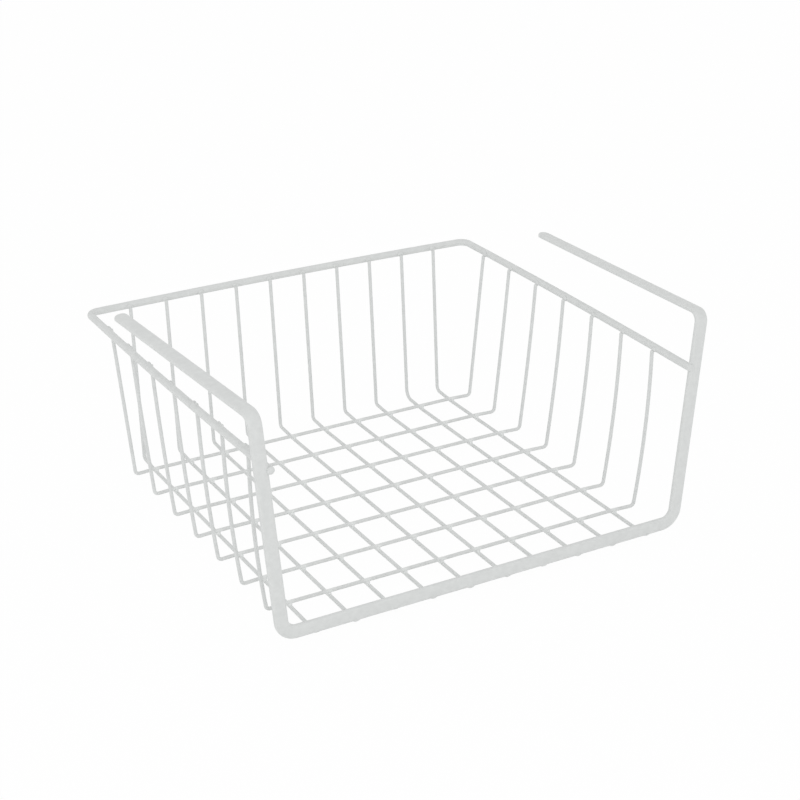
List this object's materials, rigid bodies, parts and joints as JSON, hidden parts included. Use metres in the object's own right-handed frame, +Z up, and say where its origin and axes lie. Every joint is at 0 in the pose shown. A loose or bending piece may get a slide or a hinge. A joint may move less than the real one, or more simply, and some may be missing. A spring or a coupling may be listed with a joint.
{
  "type": "under shelf basket",
  "caption": "Wire basket, open at the front, that hangs under a shelf board by two long arms of bent flat bar over the board.",
  "frame": {"origin": "bottom centre of the bounding box, on the surface that the floor wires stand on", "axes": "+X across the basket to its right seen from the front, +Y from the open front to the back, +Z up"},
  "size_m": [0.2998, 0.2594, 0.138],
  "materials": {
    "frame_coating": "pale grey satin powder coating over steel",
    "rim_coating": "pale grey satin powder coating over steel",
    "long_wire_coating": "pale grey satin powder coating over steel",
    "cross_wire_coating": "pale grey satin powder coating over steel"
  },
  "bodies": {
    "root": {"hanging_frame": "frame_coating", "basket_rim": "rim_coating", "long_wire_01": "long_wire_coating", "long_wire_02": "long_wire_coating", "long_wire_03": "long_wire_coating", "long_wire_04": "long_wire_coating", "long_wire_05": "long_wire_coating", "long_wire_06": "long_wire_coating", "long_wire_07": "long_wire_coating", "long_wire_08": "long_wire_coating", "long_wire_09": "long_wire_coating", "long_wire_10": "long_wire_coating", "cross_wire_1": "cross_wire_coating", "cross_wire_2": "cross_wire_coating", "cross_wire_3": "cross_wire_coating", "cross_wire_4": "cross_wire_coating", "cross_wire_5": "cross_wire_coating", "cross_wire_6": "cross_wire_coating", "cross_wire_7": "cross_wire_coating"}
  },
  "joints": []
}
